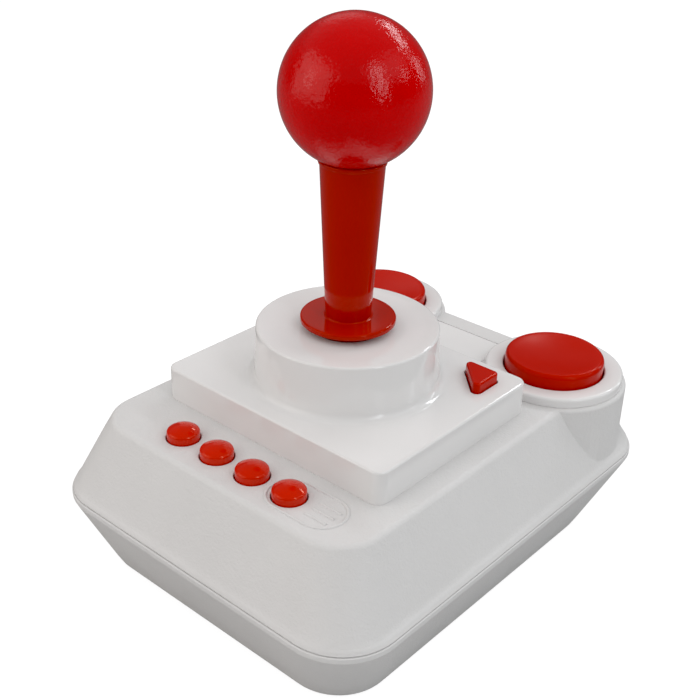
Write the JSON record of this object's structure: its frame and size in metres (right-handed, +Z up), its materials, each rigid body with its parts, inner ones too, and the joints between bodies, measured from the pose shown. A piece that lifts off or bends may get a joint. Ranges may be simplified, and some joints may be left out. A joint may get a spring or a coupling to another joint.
{
  "type": "joystick controller",
  "caption": "Free-standing joystick controller: ball-topped stick on a collared deck, round fire buttons on rear turrets, triangular and small domed buttons, sloped case.",
  "frame": {"origin": "on the surface it stands on, under the middle of the case's outline", "axes": "+X to the player's right, +Y away from the player towards the fire buttons, +Z up along the stick"},
  "size_m": [0.1034, 0.1294, 0.1414],
  "materials": {
    "case_plastic": "fine pebble texture",
    "deck_plastic": "glossy",
    "ball_red": "satin with a fine orange-peel grain",
    "sleeve_red": "smooth satin gloss",
    "button_red": "satin",
    "small_button_red": "glossy",
    "black_plastic": "moulded",
    "natural_plastic": "moulded",
    "steel": "machined",
    "spring_steel": "drawn wire",
    "brass_insert": "machined",
    "circuit_board": "solder mask",
    "silicone": "matte",
    "ribbon_grey": "satin",
    "foot_rubber": "matte",
    "bush_rubber": "matte"
  },
  "bodies": {
    "housing": {"bottom_shell": "case_plastic", "top_shell": "case_plastic", "deck_cover": "deck_plastic", "button_bezel_left": "deck_plastic", "button_bezel_right": "deck_plastic", "fire_button_spring_left": "spring_steel", "fire_button_spring_right": "spring_steel", "fire_switch_left": "black_plastic", "fire_switch_right": "black_plastic", "fire_button_board": "circuit_board", "triangle_switches": "black_plastic", "deck_button_board": "circuit_board", "keypad_mat": "silicone", "front_button_board": "circuit_board", "outer_pivot_pins": "steel", "pivot_frame": "black_plastic", "centring_spring": "spring_steel", "switch_frame": "black_plastic", "microswitch_left": "black_plastic", "microswitch_right": "black_plastic", "microswitch_front": "black_plastic", "microswitch_back": "black_plastic", "restrictor_plate": "black_plastic", "frame_screws": "steel", "main_board": "circuit_board", "controller_chip": "black_plastic", "board_headers": "natural_plastic", "front_ribbon": "ribbon_grey", "rear_ribbon": "ribbon_grey", "board_screws": "steel", "deck_screws": "steel", "case_screws": "steel", "rubber_feet": "foot_rubber", "cable_bush": "bush_rubber"},
    "gimbal": {"gimbal_ring": "black_plastic", "inner_pivot_pins": "steel"},
    "stick": {"ball_knob": "ball_red", "knob_insert": "brass_insert", "stick_sleeve": "sleeve_red", "stick_shaft": "steel", "stick_hub": "black_plastic", "actuator": "natural_plastic", "e_clip": "steel"},
    "fire_left": {"fire_button_left": "button_red"},
    "fire_right": {"fire_button_right": "button_red"},
    "triangle_left": {"triangle_button_left": "button_red"},
    "triangle_right": {"triangle_button_right": "button_red"},
    "front_1": {"front_button_1": "small_button_red"},
    "front_2": {"front_button_2": "small_button_red"},
    "front_3": {"front_button_3": "small_button_red"},
    "front_4": {"front_button_4": "small_button_red"}
  },
  "joints": [
    {"name": "stick_forward_back", "type": "hinge", "parent": "housing", "child": "gimbal", "pos_m": [0, -0.0072, 0.056], "axis": [1, 0, 0], "range_deg": [-5, 5], "stiffness_Nm_per_rad": 2, "deforming": ["centring_spring"]},
    {"name": "stick_left_right", "type": "hinge", "parent": "gimbal", "child": "stick", "pos_m": [0, -0.0072, 0.056], "axis": [0, 1, 0], "range_deg": [-5, 5], "stiffness_Nm_per_rad": 2, "deforming": ["centring_spring"]},
    {"name": "fire_left_press", "type": "slide", "parent": "housing", "child": "fire_left", "axis": [0, 0, -1], "range_m": [0, 0.0023], "stiffness_N_per_m": 350, "springref_m": -0.002, "deforming": ["fire_button_spring_left"]},
    {"name": "fire_right_press", "type": "slide", "parent": "housing", "child": "fire_right", "axis": [0, 0, -1], "range_m": [0, 0.0023], "stiffness_N_per_m": 350, "springref_m": -0.002, "deforming": ["fire_button_spring_right"]},
    {"name": "triangle_left_press", "type": "slide", "parent": "housing", "child": "triangle_left", "axis": [0, 0, -1], "range_m": [0, 0.001], "stiffness_N_per_m": 600, "springref_m": -0.001},
    {"name": "triangle_right_press", "type": "slide", "parent": "housing", "child": "triangle_right", "axis": [0, 0, -1], "range_m": [0, 0.001], "stiffness_N_per_m": 600, "springref_m": -0.001},
    {"name": "front_1_press", "type": "slide", "parent": "housing", "child": "front_1", "axis": [0, 0, -1], "range_m": [0, 0.0009], "stiffness_N_per_m": 500, "springref_m": -0.001},
    {"name": "front_2_press", "type": "slide", "parent": "housing", "child": "front_2", "axis": [0, 0, -1], "range_m": [0, 0.0009], "stiffness_N_per_m": 500, "springref_m": -0.001},
    {"name": "front_3_press", "type": "slide", "parent": "housing", "child": "front_3", "axis": [0, 0, -1], "range_m": [0, 0.0009], "stiffness_N_per_m": 500, "springref_m": -0.001},
    {"name": "front_4_press", "type": "slide", "parent": "housing", "child": "front_4", "axis": [0, 0, -1], "range_m": [0, 0.0009], "stiffness_N_per_m": 500, "springref_m": -0.001}
  ]
}
